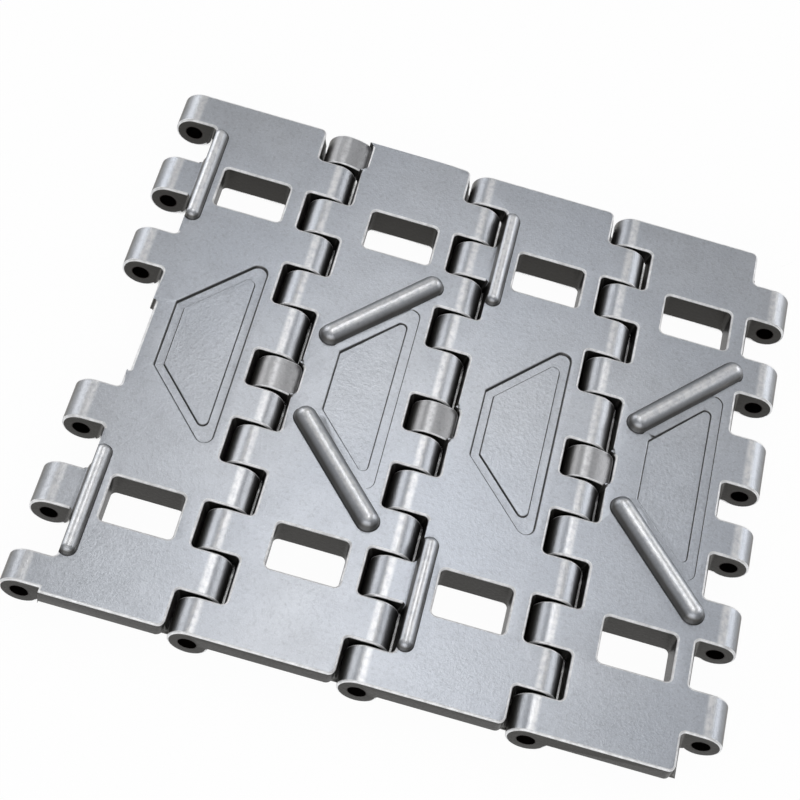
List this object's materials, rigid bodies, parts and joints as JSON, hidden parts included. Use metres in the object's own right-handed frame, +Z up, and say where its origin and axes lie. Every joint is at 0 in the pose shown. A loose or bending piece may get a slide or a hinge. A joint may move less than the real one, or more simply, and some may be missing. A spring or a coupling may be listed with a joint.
{
  "type": "slat top chain",
  "caption": "Conveyor chain of hinged cast slats: interleaved knuckles on hinge pins, raised ribs and a shallow pocket on top, sprocket windows through the plate",
  "frame": {"origin": "on the floor under the middle of the chain lying flat on its knuckles", "axes": "+X along the travel, from slat_1 to slat_4; +Y along the hinge pins; +Z up, out of the carrying face"},
  "size_m": [0.2156, 0.195, 0.0161],
  "materials": {
    "cast_metal": "fine blasted casting, satin grey",
    "keeper_metal": "fine blasted casting, satin grey",
    "pin_steel": "drawn rod, dull",
    "screw_steel": "blackened"
  },
  "bodies": {
    "slat_1_body": {"slat_1": "cast_metal"},
    "slat_2_body": {"slat_2": "cast_metal", "hinge_pin_1": "pin_steel", "centre_keeper_1": "keeper_metal", "end_keeper": "keeper_metal", "centre_keeper_screw_1": "screw_steel", "end_keeper_screw": "screw_steel"},
    "slat_3_body": {"slat_3": "cast_metal", "hinge_pin_2": "pin_steel", "centre_keeper_2": "keeper_metal", "centre_keeper_screw_2": "screw_steel"},
    "slat_4_body": {"slat_4": "cast_metal", "hinge_pin_3": "pin_steel", "centre_keeper_3": "keeper_metal", "centre_keeper_screw_3": "screw_steel"}
  },
  "joints": [
    {"name": "hinge_1", "type": "hinge", "parent": "slat_1_body", "child": "slat_2_body", "pos_m": [-0.0508, 0, 0.0062], "axis": [0, 1, 0], "range_deg": [-60, 60]},
    {"name": "hinge_2", "type": "hinge", "parent": "slat_2_body", "child": "slat_3_body", "pos_m": [0, 0, 0.0062], "axis": [0, 1, 0], "range_deg": [-60, 60]},
    {"name": "hinge_3", "type": "hinge", "parent": "slat_3_body", "child": "slat_4_body", "pos_m": [0.0508, 0, 0.0062], "axis": [0, 1, 0], "range_deg": [-60, 60]}
  ]
}
